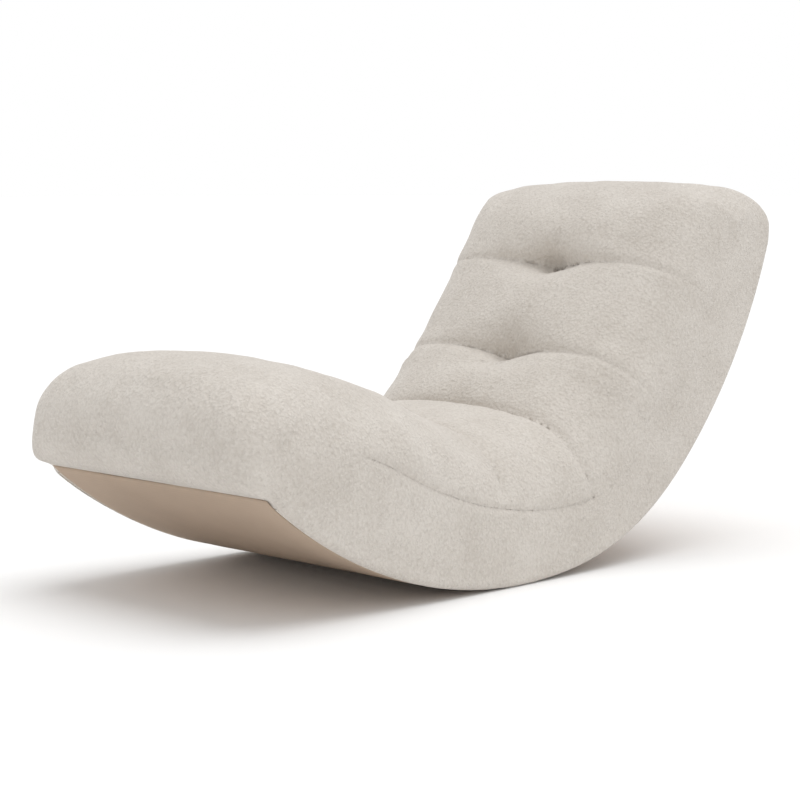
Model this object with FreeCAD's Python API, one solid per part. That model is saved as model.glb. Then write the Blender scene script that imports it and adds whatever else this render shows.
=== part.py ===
import FreeCAD, Part
import math
import os

V = FreeCAD.Vector
ACROSS = V(0.0, 1.0, 0.0)
UPWARD = V(0.0, 0.0, 1.0)

# The frame of the part: +X runs from the toe to the head, +Z is up, and the origin is on the floor,
# in the middle of the strip that the rocker stands on. A heading is the slope of the underside
# there, in degrees: 0 over the origin, negative towards the toe. A depth is measured square to the
# underside, into the chair. All lengths are in millimetres.

# Rocker profile: three tangent arcs from the toe's lower edge to the head's
WIDTH = 720.0
BELLY_RADIUS = 1075.0
LOIN_RADIUS = 680.0
BACK_RADIUS = 1210.0
TOE_HEADING = -39.8
BELLY_END = 9.5
LOIN_END = 41.7
HEAD_HEADING = 71.9
FLOOR_FLAT = 0.5

# Running gaps between pieces
GAP = 0.3
SCREW_GAP = 0.2

# Sheets and skins
CLOTH = 2.0
COVER = 4.0
EDGE_RADIUS = 15.0
WELT_RADIUS = 4.5
WELT_LIFT = 0.8

# Frame of plywood and timber
BOARD = 9.0
RIB = 18.0
END_BOARD = 18.0
SIDE_FOAM = 39.0
DECK_TOE = 45.0
DECK_SEAT = 95.0
DECK_HEAD = 205.0
DECK_BEND = -15.0
SIDE_FOAM_HEAD = 150.0
RAIL_THICK = 30.0
RAIL_PLANED = 5.0
WINDOW_WALL = 24.0
WINDOW_CORNER = 14.0
WINDOW_CORNER_SHARE = 0.4
WINDOW_TO_RAIL = 35.0
WINDOW_LEAST = 20.0
BLOCK_LEG = 38.0
BLOCK_SHORTER = 8.0
BALANCE_BAR = (60.0, 48.0)
BALANCE_BAR_LOW = 15.0
BALANCE_BAR_CLEAR = 2.0
SCREW_RADIUS = 3.0
SCREW_HEAD_RADIUS = 6.0
SCREW_LONG = 68.0

# Cross rails: heading and height
RAILS = {
    "toe_rail": (-35.0, 38.0),
    "calf_rail": (-23.0, 60.0),
    "knee_rail": (-9.5, 62.0),
    "seat_front_rail": (4.0, 62.0),
    "seat_rear_rail": (21.0, 62.0),
    "lumbar_rail": (39.5, 62.0),
    "back_rail": (51.5, 62.0),
    "shoulder_rail": (59.5, 62.0),
    "head_rail": (69.3, 62.0),
}

# Elastic webbing straps: first heading and last heading
STRAPS = {
    "calf_webbing": (-31.5, -7.5),
    "seat_webbing": (1.5, 12.2),
    "lumbar_webbing": (21.8, 39.8),
    "back_webbing": (48.4, 57.6),
    "head_webbing": (64.6, 69.0),
}
STRAP = 2.0
STRAP_WIDE = 60.0
STRAP_PITCH = 95.0
STRAP_MARGIN = 4.0
DECK_CLOTH = 1.0

# Foam
CORE = 45.0
SKIRT_TRIM = 20.0
CROWN_SLOPE = 11.0
DIP_SHARE = 0.15

# Tuft ties, each in a crease on the centre plane
TIE_RADIUS = 1.5
TIE_CHANNEL = 2.0
CHANNEL_PAST_PAD = 10.0
ANCHOR_RADIUS = 10.0
ANCHOR_THICK = 2.0
ANCHOR_SEAT = 0.1
TIE_START = 0.4

# Creases between the cushions: heading, crown over the underside, shoulder radius and tuft dip
CREASES = {
    "calf": (-3.0, 332.0, 195.0, 15.0),
    "seat": (17.0, 324.0, 190.0, 14.0),
    "lumbar": (44.6, 352.0, 140.0, 52.0),
    "back": (61.0, 350.0, 128.0, 62.0),
    "head": (HEAD_HEADING, 322.0, 115.0, 0.0),
}
SWELL = {"seat": 18.0, "lumbar": 20.0, "back": 18.0, "head": 14.0}
SWELL_STATIONS = (0.0, 0.15, 0.5, 0.85, 1.0)
SWELL_POWER = 0.6

# Upright cuts of the calf cushion: heading at its foot, top over the floor, shoulder radius
CALF_TOPS = ((-38.4, 500.0, 120.0), (-29.7, 492.0, 140.0), (-20.3, 458.0, 160.0),
             (-11.4, 400.0, 175.0), (-5.2, 352.0, 190.0))

# Rounded ends: distance past the end plane, and how far the bottom, top and sides draw in there
TOE_ROUND = ((0.0, 3.0, 0.0, 0.0), (25.0, 24.0, 8.0, 2.0), (51.0, 33.0, 26.0, 9.0),
             (71.0, 51.0, 55.0, 27.0), (83.0, 82.0, 92.0, 58.0))
HEAD_ROUND = ((0.0, 2.3, 0.0, 0.0), (30.0, 7.0, 30.0, 2.0), (56.0, 20.0, 88.0, 8.0),
              (74.0, 40.0, 132.0, 20.0), (85.0, 66.0, 158.0, 40.0))
END_SHOULDER_SHARE = 0.55

# The long side seam between the bands and the cushions: heading and depth
SEAM = ((-41.0, 136.0), (-36.0, 164.0), (-29.0, 194.0), (-16.0, 188.0), (-3.6, 166.0), (16.3, 131.0),
        (32.0, 136.0), (50.0, 150.0), (HEAD_HEADING + 1.0, 140.0))
SEAM_INSIDE = 290.0
COVER_LOW = 60.0

# How far cutting forms reach, degrees past an end, degrees that a slope is taken over, and a rough fit
FAR_AWAY = 3000.0
PAST_END = 8.0
SLOPE_STEP = 0.5
ROUGH_FIT = 1.0

half_width = WIDTH / 2.0
board_low = CLOTH + GAP
rib_low = board_low + BOARD + GAP
side_foam_out = half_width - COVER - GAP
frame_half = side_foam_out - SIDE_FOAM - GAP
rib_inside = frame_half - RIB
strap_low = GAP
strap_high = strap_low + STRAP
deck_cloth_low = strap_high + GAP
core_low = deck_cloth_low + DECK_CLOTH + GAP
core_high = core_low + CORE
pad_inset = COVER + GAP
welt_y = half_width - EDGE_RADIUS - GAP - WELT_RADIUS
under_half = welt_y - WELT_RADIUS - GAP
past_core = frame_half + GAP
past_toe = TOE_HEADING - PAST_END
past_head = HEAD_HEADING + PAST_END


def inward(heading):
    """Direction square to the underside, into the chair."""
    angle = math.radians(heading)
    return V(-math.sin(angle), 0.0, math.cos(angle))


def forward(heading):
    """Direction along the underside, towards the head."""
    angle = math.radians(heading)
    return V(math.cos(angle), 0.0, math.sin(angle))


belly_centre = V(0.0, 0.0, BELLY_RADIUS - FLOOR_FLAT)
loin_centre = belly_centre - inward(BELLY_END) * (BELLY_RADIUS - LOIN_RADIUS)
back_centre = loin_centre - inward(LOIN_END) * (LOIN_RADIUS - BACK_RADIUS)


def arc_at(heading):
    """Centre and radius of the underside arc that holds a heading."""
    if heading <= BELLY_END:
        return belly_centre, BELLY_RADIUS
    if heading <= LOIN_END:
        return loin_centre, LOIN_RADIUS
    return back_centre, BACK_RADIUS


def under(heading, depth=0.0):
    """Point on the centre plane at one heading and depth."""
    centre, radius = arc_at(heading)
    return centre - inward(heading) * (radius - depth)


toe_plane = under(CALF_TOPS[0][0]).x


def turn_for(heading, length, depth=0.0):
    """Degrees of heading that one length takes along the underside, or along a depth above it."""
    return math.degrees(length / (arc_at(heading)[1] - depth))


def rise(heading, at_head):
    """Depth of a line that is low at the toe, level under the seat, and rises to the head."""
    to_toe = max(0.0, DECK_BEND - heading) / (DECK_BEND - TOE_HEADING)
    to_head = max(0.0, heading - BELLY_END) / (HEAD_HEADING - BELLY_END)
    return DECK_SEAT - (DECK_SEAT - DECK_TOE) * to_toe ** 2 + (at_head - DECK_SEAT) * to_head


def deck_depth(heading):
    """Depth of the ribs' upper edge."""
    return rise(heading, DECK_HEAD)


def deck(extra=0.0):
    """Depth function of a layer at one height over the deck."""
    return lambda heading: deck_depth(heading) + extra


def side_top(extra=0.0):
    """Depth function of the side foam's upper edge, or of a line over it."""
    return lambda heading: rise(heading, SIDE_FOAM_HEAD) + extra


def chain(runs):
    """Wire through runs of points: two points make a line, three an arc, more a smooth curve."""
    edges = []
    for run in runs:
        if len(run) == 2:
            edges.append(Part.makeLine(run[0], run[1]))
        elif len(run) == 3:
            edges.append(Part.Arc(run[0], run[1], run[2]).toShape())
        else:
            curve = Part.BSplineCurve()
            curve.interpolate(list(run))
            edges.append(curve.toShape())
    return Part.Wire(edges)


def stops_between(start, end, bends):
    """The headings where a line bends, between a start and an end, with both ends."""
    return [start] + [bend for bend in bends if start < bend < end] + [end]


def follow(depth, start, end):
    """Runs along the arcs, at one depth or at a depth function, from one heading to another."""
    steps = 4 if callable(depth) else 2
    bends = (DECK_BEND, BELLY_END, LOIN_END) if callable(depth) else (BELLY_END, LOIN_END)
    stops = stops_between(start, end, bends)
    runs = []
    for first, last in zip(stops, stops[1:]):
        headings = [first + (last - first) * step / steps for step in range(steps + 1)]
        depths = [depth(heading) if callable(depth) else depth for heading in headings]
        runs.append(tuple(under(heading, d) for heading, d in zip(headings, depths)))
    return runs


def backwards(runs):
    """The same runs, walked the other way."""
    return [tuple(reversed(run)) for run in reversed(runs)]


def closed(runs):
    """Runs with a line added from the last point back to the first."""
    return runs + [(runs[-1][-1], runs[0][0])]


def extruded(runs, near, far):
    """Solid of a closed outline on the centre plane, reaching across from near to far."""
    face = Part.Face(chain(runs))
    face.translate(ACROSS * near)
    return face.extrude(ACROSS * (far - near))


def slab(low, high, start, end, near, far):
    """Solid between two depths and two headings, reaching across from near to far."""
    floor = follow(low, start, end)
    roof = backwards(follow(high, start, end))
    return extruded(closed(floor + [(floor[-1][-1], roof[0][0])] + roof), near, far)


def box(x_range, y_range, z_range):
    """Box from three ranges."""
    corner = V(x_range[0], y_range[0], z_range[0])
    return Part.makeBox(x_range[1] - x_range[0], y_range[1] - y_range[0], z_range[1] - z_range[0], corner)


def mirrored(shape):
    """The same shape on the other side of the centre plane."""
    return shape.mirror(V(0.0, 0.0, 0.0), ACROSS)


def everywhere_ahead_of(x):
    """Everything on the toe's side of an upright plane."""
    return box((-FAR_AWAY, x), (-FAR_AWAY, FAR_AWAY), (-FAR_AWAY, FAR_AWAY))


def loft(wires):
    """Smooth solid through closed wires."""
    return Part.makeLoft(wires, True, False)


class Cut:
    """A cut across the chair: where it stands on the underside, which way it leans, and its outline."""

    def __init__(self, heading, up, crown, shoulder, dip=0.0):
        self.heading = heading
        self.foot = under(heading)
        self.up = up
        self.crown = crown
        self.shoulder = shoulder
        self.dip = dip
        self.half = half_width

    def height_of(self, depth):
        """How far up this cut one depth lies."""
        centre, radius = arc_at(self.heading)
        reach = self.foot - centre
        along = reach.dot(self.up)
        lost = reach.dot(reach) - (radius - depth) ** 2
        return -along - math.sqrt(along * along - lost)

    def place(self, runs):
        """Runs of (across, height) as runs of points."""
        return [tuple(self.foot + ACROSS * y + self.up * h for y, h in run) for run in runs]

    def moved(self, out, bottom, top, side):
        """This cut moved out past its end plane, with its bottom, top and sides drawn in."""
        crown = self.crown - bottom - top
        other = Cut(self.heading, self.up, crown, min(self.shoulder, crown * END_SHOULDER_SHARE))
        other.foot = self.foot + out + self.up * bottom
        other.half = self.half - side
        return other

    def arch(self, low, inset):
        """Runs from low on the +Y side, up over the crown and down the -Y side, all drawn in alike."""
        slope = math.radians(CROWN_SLOPE)
        side = self.half - inset
        bend = self.shoulder - inset
        top = self.crown - inset
        middle = side - bend
        joint_y = middle + bend * math.sin(slope)
        spring = top - bend * math.cos(slope) - joint_y * math.tan(slope / 2.0)
        joint = (joint_y, spring + bend * math.cos(slope))
        turn = (math.pi / 2.0 - slope) / 2.0
        bulge = (middle + bend * math.cos(turn), spring + bend * math.sin(turn))
        crown_radius = joint_y / math.sin(slope)
        crown_y = joint_y / 2.0
        crown_fall = crown_radius - math.sqrt(crown_radius ** 2 - crown_y ** 2) + DIP_SHARE * self.dip
        right = [
            ((side, low), (side, spring)),
            ((side, spring), bulge, joint),
            (joint, (crown_y, top - crown_fall), (0.0, top - self.dip)),
        ]
        left = [tuple((-y, h) for y, h in run) for run in backwards(right)]
        return right + left

    def cover(self):
        """Outline of the cover over the crown and down both sides."""
        outer = self.arch(COVER_LOW, 0.0)
        inner = backwards(self.arch(COVER_LOW, COVER))
        return chain(self.place(closed(outer + [(outer[-1][-1], inner[0][0])] + inner)))

    def strip(self):
        """Outline of the band on the +Y side: tucked under the edge, up the side and onto the shoulder."""
        outer = [self.edge(0.0)] + self.arch(EDGE_RADIUS, 0.0)[:2]
        inner = backwards([self.edge(COVER)] + self.arch(EDGE_RADIUS, COVER)[:2])
        return chain(self.place(closed(outer + [(outer[-1][-1], inner[0][0])] + inner)))

    def edge(self, inset):
        """Quarter turn of the lower edge on the +Y side."""
        turn = (EDGE_RADIUS - inset) * math.sqrt(0.5)
        middle = self.half - EDGE_RADIUS
        return (middle, inset), (middle + turn, EDGE_RADIUS - turn), (self.half - inset, EDGE_RADIUS)

    def pad(self):
        """Outline of the soft pad before the core, the frame and the side foam are cut out of it."""
        return chain(self.place(closed(self.arch(self.height_of(side_top(-SKIRT_TRIM)(self.heading)), pad_inset))))

    def full(self, inset):
        """Closed outline with a flat bottom and rounded lower edges."""
        right_edge = self.edge(inset)
        left_edge = tuple((-y, h) for y, h in reversed(right_edge))
        arch = self.arch(EDGE_RADIUS, inset)
        bottom = [left_edge, (left_edge[-1], right_edge[0]), right_edge]
        return chain(self.place(arch + bottom))


def radial_cut(heading, crown, shoulder, dip):
    """Cut square to the underside."""
    return Cut(heading, inward(heading), crown, shoulder, dip)


def upright_cut(heading, top, shoulder):
    """Upright cut through the calf, with its top measured from the floor."""
    return Cut(heading, UPWARD, top - under(heading).z, shoulder)


def cushion_cuts(before, after, swell):
    """Cuts of a cushion that swells between two creases and dips at their tufts."""
    cuts = []
    for share in SWELL_STATIONS:
        heading, crown, shoulder, dip = (a + (b - a) * share for a, b in zip(before, after))
        full = (4.0 * share * (1.0 - share)) ** SWELL_POWER
        cuts.append(radial_cut(heading, crown + swell * full, shoulder, dip * (1.0 - full)))
    return cuts


def end_cuts(last, way, rounding):
    """Cuts that round off an end."""
    return [last.moved(way * out, bottom, top, side) for out, bottom, top, side in rounding]


def end_filling(cuts, way, inset):
    """What fills a rounded end inside a skin of one thickness."""
    return loft([cuts[0].full(inset)] + [cut.moved(way * -inset, 0.0, 0.0, 0.0).full(inset) for cut in cuts[1:]])


def end_skin(cuts, way):
    """Cover of a rounded end: open towards the chair, closed all round and turned under below."""
    mouth = Part.Face(cuts[0].full(COVER)).extrude(way * -COVER)
    return loft([cut.full(0.0) for cut in cuts]).cut(end_filling(cuts, way, COVER)).cut(mouth)


def under_seam(shift):
    """Everything below the long side seam, on both sides of the chair."""
    seam = [tuple(under(heading, depth + shift) for heading, depth in SEAM)]
    floor = [tuple(under(heading, -EDGE_RADIUS) for heading, depth in reversed(SEAM))]
    runs = closed(seam + [(seam[0][-1], floor[0][0])] + floor)
    far_side = extruded(runs, SEAM_INSIDE, WIDTH).cut(everywhere_ahead_of(toe_plane))
    return far_side.fuse(mirrored(far_side))


def fused(shapes):
    """One solid from shapes that share faces."""
    whole = shapes[0]
    for shape in shapes[1:]:
        whole = whole.fuse(shape)
    return whole.removeSplitter()


def welt(y):
    """Round welt along the underside's edge, following its three arcs."""
    path = chain(follow(WELT_RADIUS + WELT_LIFT, TOE_HEADING, HEAD_HEADING))
    start = under(TOE_HEADING, WELT_RADIUS + WELT_LIFT)
    ring = Part.Wire(Part.makeCircle(WELT_RADIUS, start, forward(TOE_HEADING)))
    cord = path.makePipeShell([ring], True, False).translated(ACROSS * y)
    return cord.cut(everywhere_ahead_of(toe_plane + GAP))


# Cuts of every cushion and of both rounded ends
calf_cuts = [upright_cut(*row) for row in CALF_TOPS] + [radial_cut(*CREASES["calf"])]
cushions = {"calf": calf_cuts}
crease_names = list(CREASES)
for before, after in zip(crease_names, crease_names[1:]):
    cushions[after] = cushion_cuts(CREASES[before], CREASES[after], SWELL[after])
toeward = V(-1.0, 0.0, 0.0)
headward = forward(HEAD_HEADING)
toe_cuts = end_cuts(cushions["calf"][0], toeward, TOE_ROUND)
head_cuts = end_cuts(cushions["head"][-1], headward, HEAD_ROUND)

below_floor = box((-FAR_AWAY, FAR_AWAY), (-FAR_AWAY, FAR_AWAY), (-FAR_AWAY, 0.0))
toe_board_back = everywhere_ahead_of(toe_plane + END_BOARD)
head_board_heading = HEAD_HEADING - turn_for(HEAD_HEADING, END_BOARD, rib_low)

parts = {}


def screw_at(heading, side, grow=0.0):
    """Countersunk screw through a side rib into a rail's end, or its hole when grown."""
    depth = deck_depth(heading) - RAILS_BY_HEADING[heading] / 2.0
    start = under(heading, depth) + ACROSS * (side * frame_half)
    way = ACROSS * -side
    shank = Part.makeCylinder(SCREW_RADIUS + grow, SCREW_LONG + grow, start, way)
    head_high = SCREW_HEAD_RADIUS - SCREW_RADIUS
    head = Part.makeCone(SCREW_HEAD_RADIUS + grow, SCREW_RADIUS + grow, head_high, start, way)
    return shank.fuse(head)


def rail_blank(heading, height, grow=0.0):
    """Cross rail between the side ribs before its top is planed; grown for the centre rib's notch."""
    top = under(heading, deck_depth(heading) + RAIL_PLANED)
    half = forward(heading) * (RAIL_THICK / 2.0 + grow)
    drop = inward(heading) * (height + RAIL_PLANED + grow)
    corners = [top - half, top + half, top + half - drop, top - half - drop]
    return extruded(list(zip(corners, corners[1:] + corners[:1])), -rib_inside, rib_inside)


def corner_block(heading, height, side):
    """Three-cornered glue block between a rail and a side rib."""
    face = under(heading, deck_depth(heading) - BLOCK_SHORTER / 2.0)
    face = face + forward(heading) * (RAIL_THICK / 2.0) + ACROSS * (side * rib_inside)
    corners = [face, face + forward(heading) * BLOCK_LEG, face - ACROSS * (side * BLOCK_LEG)]
    outline = Part.Face(chain(list(zip(corners, corners[1:] + corners[:1]))))
    return outline.extrude(inward(heading) * -(height - BLOCK_SHORTER))


def balance_bar(side):
    """Steel bar behind the toe rail, between the centre rib and a corner block, that levels the chair."""
    heading, height = RAILS["toe_rail"]
    long, tall = BALANCE_BAR
    corner = under(heading, BALANCE_BAR_LOW) + forward(heading) * (RAIL_THICK / 2.0)
    corners = [corner, corner + forward(heading) * long]
    corners = corners + [point + inward(heading) * tall for point in reversed(corners)]
    inner = side * (RIB / 2.0 + BALANCE_BAR_CLEAR)
    outer = side * (rib_inside - BLOCK_LEG - BALANCE_BAR_CLEAR)
    return extruded(list(zip(corners, corners[1:] + corners[:1])), inner, outer)


def deck_square(heading):
    """Direction square to the deck on the centre plane."""
    before, after = (under(turn, deck_depth(turn)) for turn in (heading - SLOPE_STEP, heading + SLOPE_STEP))
    along = (after - before).normalize()
    return V(-along.z, 0.0, along.x)


def lightening_windows(headings):
    """Windows through a rib between its rails, with rounded corners, where the rib is tall enough."""
    windows = []
    for before, after in zip(headings, headings[1:]):
        start = before + turn_for(before, WINDOW_TO_RAIL, rib_low)
        end = after - turn_for(after, WINDOW_TO_RAIL, rib_low)
        low = rib_low + WINDOW_WALL
        tall = min(deck_depth(start), deck_depth(end)) - WINDOW_WALL - low
        if tall < WINDOW_LEAST:
            continue
        window = slab(low, deck(-WINDOW_WALL), start, end, -WIDTH, WIDTH)
        corners = [edge for edge in window.Edges if stands_at(edge, start) or stands_at(edge, end)]
        windows.append(window.makeFillet(min(WINDOW_CORNER, tall * WINDOW_CORNER_SHARE), corners))
    return windows


def stands_at(edge, heading):
    """Whether an edge runs straight across the chair at one heading."""
    reach = edge.CenterOfMass - under(heading)
    return abs(edge.Length - 2.0 * WIDTH) < ROUGH_FIT and abs(reach.dot(forward(heading))) < ROUGH_FIT


# Frame
over_the_deck = slab(deck(), deck(DECK_SEAT), TOE_HEADING, HEAD_HEADING, -WIDTH, WIDTH)
RAILS_BY_HEADING = dict(RAILS.values())
rail_headings = list(RAILS_BY_HEADING)
rib_plate = slab(rib_low, deck(), TOE_HEADING, head_board_heading, 0.0, RIB).cut(toe_board_back)
for window in lightening_windows(rail_headings):
    rib_plate = rib_plate.cut(window)

side_rib = rib_plate.translated(ACROSS * rib_inside)
for heading in rail_headings:
    side_rib = side_rib.cut(screw_at(heading, 1.0, SCREW_GAP))
parts["far_rib"] = side_rib
parts["near_rib"] = mirrored(side_rib)

centre_rib = rib_plate.translated(ACROSS * (-RIB / 2.0))
for heading, height in RAILS.values():
    centre_rib = centre_rib.cut(rail_blank(heading, height, GAP))
parts["centre_rib"] = centre_rib

blocks = []
screws = []
for name, (heading, height) in RAILS.items():
    rail = rail_blank(heading, height).cut(over_the_deck)
    for side in (-1.0, 1.0):
        rail = rail.cut(screw_at(heading, side, SCREW_GAP))
        screws.append(screw_at(heading, side))
        if name != "head_rail":
            blocks.append(corner_block(heading, height, side))
    parts[name] = rail
parts["corner_blocks"] = Part.makeCompound(blocks)
parts["balance_bars"] = Part.makeCompound([balance_bar(side) for side in (-1.0, 1.0)])
parts["frame_screws"] = Part.makeCompound(screws)

rocker_board = slab(board_low, board_low + BOARD, TOE_HEADING, HEAD_HEADING, -under_half, under_half)
parts["rocker_board"] = rocker_board.cut(everywhere_ahead_of(toe_plane))

toe_blank = box((toe_plane, toe_plane + END_BOARD), (-frame_half, frame_half), (0.0, CALF_TOPS[0][1]))
parts["toe_board"] = toe_blank.common(slab(rib_low, deck(core_high), past_toe, BELLY_END, -WIDTH, WIDTH))
parts["head_board"] = slab(rib_low, deck(core_high), head_board_heading, HEAD_HEADING, -frame_half, frame_half)

# Webbing, deck cloth and tuft ties
for name, (first, last) in STRAPS.items():
    straps = []
    spaces = max(1, round((last - first) / turn_for(first, STRAP_PITCH, deck_depth(first))))
    for index in range(spaces + 1):
        heading = first + (last - first) * index / spaces
        half_turn = turn_for(heading, STRAP_WIDE, deck_depth(heading)) / 2.0
        edge_y = frame_half - STRAP_MARGIN
        straps.append(slab(deck(strap_low), deck(strap_high), heading - half_turn, heading + half_turn,
                           -edge_y, edge_y))
    parts[name] = Part.makeCompound(straps)

deck_cloth = slab(deck(deck_cloth_low), deck(deck_cloth_low + DECK_CLOTH), past_toe, head_board_heading,
                  STRAP_MARGIN - frame_half, frame_half - STRAP_MARGIN).cut(toe_board_back)
channels = []
ties = []
anchors = []
for heading, crown, shoulder, dip in list(CREASES.values())[:-1]:
    lean = deck_square(heading)
    foot = under(heading, deck_depth(heading)) + lean * (ANCHOR_SEAT + ANCHOR_THICK)
    reach = crown - dip - pad_inset - deck_depth(heading) - 2.0 * (ANCHOR_SEAT + ANCHOR_THICK)
    anchors.append(Part.makeCylinder(ANCHOR_RADIUS, ANCHOR_THICK, foot - lean * ANCHOR_THICK, lean))
    start = foot + inward(heading) * TIE_START
    ties.append(Part.makeCylinder(TIE_RADIUS, reach, start, inward(heading)))
    channels.append(Part.makeCylinder(TIE_CHANNEL, reach + CHANNEL_PAST_PAD, foot, inward(heading)))
tie_channels = Part.makeCompound(channels)
parts["deck_cloth"] = deck_cloth.cut(tie_channels)
parts["tuft_ties"] = Part.makeCompound(ties)
parts["tuft_anchors"] = Part.makeCompound(anchors)

# Foam: a firm core and a soft pad under each cushion, side foam outside the ribs, and rounded ends
up_to_core = slab(0.0, deck(core_high + GAP), past_toe, past_head, -past_core, past_core)
up_to_sides = slab(0.0, side_top(GAP), past_toe, past_head, -WIDTH, WIDTH)
for name, cuts in cushions.items():
    start = past_toe if name == "calf" else cuts[0].heading
    end = head_board_heading if name == "head" else cuts[-1].heading
    core = slab(deck(core_low), deck(core_high), start, end, -frame_half, frame_half)
    if name == "calf":
        core = core.cut(toe_board_back)
    parts[name + "_core"] = core.cut(tie_channels)
    pad = loft([cut.pad() for cut in cuts]).cut(up_to_core).cut(up_to_sides)
    parts[name + "_pad"] = pad.cut(tie_channels)

side_foam = slab(EDGE_RADIUS, side_top(), past_toe, HEAD_HEADING, past_core, side_foam_out)
side_foam = side_foam.cut(everywhere_ahead_of(toe_plane))
parts["far_side_foam"] = side_foam
parts["near_side_foam"] = mirrored(side_foam)
parts["toe_foam"] = end_filling(toe_cuts, toeward, pad_inset)
parts["head_foam"] = end_filling(head_cuts, headward, pad_inset)

# Covers and bands, parted along the side seam
below_seam = under_seam(GAP / 2.0)
above_seam_cutter = under_seam(-GAP / 2.0)
strips = []
for name, cuts in cushions.items():
    cover = loft([cut.cover() for cut in cuts]).cut(below_seam)
    if name == "calf":
        cover = fused([cover, end_skin(toe_cuts, toeward)])
    if name == "head":
        cover = fused([cover, end_skin(head_cuts, headward)])
    parts[name + "_cover"] = cover
    strips.append(loft([cut.strip() for cut in cuts]))
band = fused(strips).common(above_seam_cutter).cut(below_floor)
parts["far_band"] = band
parts["near_band"] = mirrored(band)

# Underside cloth and the welts beside it
underside = slab(0.0, CLOTH, TOE_HEADING, HEAD_HEADING, -under_half, under_half)
parts["underside_cloth"] = underside.cut(below_floor)
parts["far_welt"] = welt(welt_y)
parts["near_welt"] = mirrored(parts["far_welt"])

os.makedirs("parts", exist_ok=True)
for name, shape in parts.items():
    print(name, shape.ShapeType, len(shape.Solids), shape.isValid(), round(shape.Volume / 1e6, 3))
    shape.exportStep("parts/" + name + ".step")
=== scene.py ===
import logging
import math
from collections.abc import Callable
from dataclasses import dataclass, field, replace
from enum import Enum

import bpy
import numpy as np
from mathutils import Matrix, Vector


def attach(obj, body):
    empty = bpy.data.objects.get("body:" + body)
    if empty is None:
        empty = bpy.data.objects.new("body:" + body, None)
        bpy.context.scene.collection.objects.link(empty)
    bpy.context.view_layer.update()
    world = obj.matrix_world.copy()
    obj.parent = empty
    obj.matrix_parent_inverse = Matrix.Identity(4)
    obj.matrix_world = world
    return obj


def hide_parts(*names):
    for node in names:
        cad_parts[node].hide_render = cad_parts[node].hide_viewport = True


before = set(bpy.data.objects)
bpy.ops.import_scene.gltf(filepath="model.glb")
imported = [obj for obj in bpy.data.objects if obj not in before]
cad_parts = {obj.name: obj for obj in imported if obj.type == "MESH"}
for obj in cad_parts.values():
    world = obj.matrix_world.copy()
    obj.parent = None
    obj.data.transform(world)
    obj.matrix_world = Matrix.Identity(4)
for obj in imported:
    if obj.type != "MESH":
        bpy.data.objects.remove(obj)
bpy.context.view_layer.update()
log = logging.getLogger("rocking_chaise")

TINY = 1e-9
WHITE = (1.0, 1.0, 1.0, 1.0)
RAILS = ("toe", "calf", "knee", "seat_front", "seat_rear", "lumbar", "back", "shoulder", "head")
BOARDS = ("far_rib", "near_rib", "centre_rib", "rocker_board", "toe_board", "head_board")


class Region(Enum):
    """Pieces that the upholstery's outer surface is parted into."""

    CALF = "calf"
    SEAT = "seat"
    LUMBAR = "lumbar"
    BACK = "back"
    HEAD = "head"
    NEAR_BAND = "near_band"
    FAR_BAND = "far_band"
    UNDERSIDE = "underside"


REGIONS = list(Region)
CUSHIONS = (Region.CALF, Region.SEAT, Region.LUMBAR, Region.BACK, Region.HEAD)


class Pick(Enum):
    """What is selected of a mesh that is opened for editing."""

    ALL = "SELECT"
    NONE = "DESELECT"
    KEPT = ""


def smooth_step(value: np.ndarray) -> np.ndarray:
    """Rises smoothly from 0 at 0 to 1 at 1."""
    share = np.clip(value, 0.0, 1.0)
    return share * share * (3.0 - 2.0 * share)


def unit(vectors: np.ndarray) -> np.ndarray:
    """Vectors of the same directions and of length 1."""
    return vectors / np.maximum(np.linalg.norm(vectors, axis=1), TINY)[:, None]


def curve_through(knots: tuple, at: np.ndarray) -> np.ndarray:
    """Smooth curve through knots.

    Args:
        knots: pairs of place and value, in order of place.
        at: places to read the curve at.

    Returns:
        The curve's values there.
    """
    place = np.array([knot[0] for knot in knots])
    value = np.array([knot[1] for knot in knots])
    slope = np.gradient(value, place)
    index = np.clip(np.searchsorted(place, at) - 1, 0, len(place) - 2)
    span = place[index + 1] - place[index]
    share = np.clip((at - place[index]) / span, 0.0, 1.0)
    rise = value[index + 1] - value[index]
    start = slope[index] * span
    finish = slope[index + 1] * span
    bend = (start + finish - 2.0 * rise) * share + 3.0 * rise - 2.0 * start - finish
    return value[index] + share * (start + share * bend)


@dataclass(frozen=True)
class Fade:
    """A share that rises smoothly from 0 to 1 once a measure is past its start, over its width."""

    start: float
    width: float

    def of(self, measure: np.ndarray) -> np.ndarray:
        """Share at values of the measure."""
        return smooth_step((measure - self.start) / self.width)


@dataclass(frozen=True)
class Bell:
    """A share that is 1 on a line or at a point, and dies away over about its width."""

    width: float
    power: float = 2.0

    def of(self, distance: np.ndarray) -> np.ndarray:
        """Share at distances from the line or the point."""
        return np.exp(-(np.abs(distance) / self.width) ** self.power)


@dataclass(frozen=True)
class Ripple:
    """A smooth random unevenness of a typical height and length in metres, summed from waves."""

    height: float
    length: float
    seed: int
    waves: int = 24
    spread: tuple = (0.7, 1.5)

    def at(self, points: np.ndarray) -> np.ndarray:
        """Reads the ripple.

        Args:
            points: places in metres.

        Returns:
            Its height at each point.
        """
        chance = np.random.default_rng(self.seed)
        ways = unit(chance.normal(size=(self.waves, 3)))
        ways *= 2.0 * math.pi / (self.length * chance.uniform(*self.spread, self.waves))[:, None]
        phases = chance.uniform(0.0, 2.0 * math.pi, self.waves)
        return self.height * np.cos(points @ ways.T + phases).sum(axis=1) / math.sqrt(self.waves)


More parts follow.
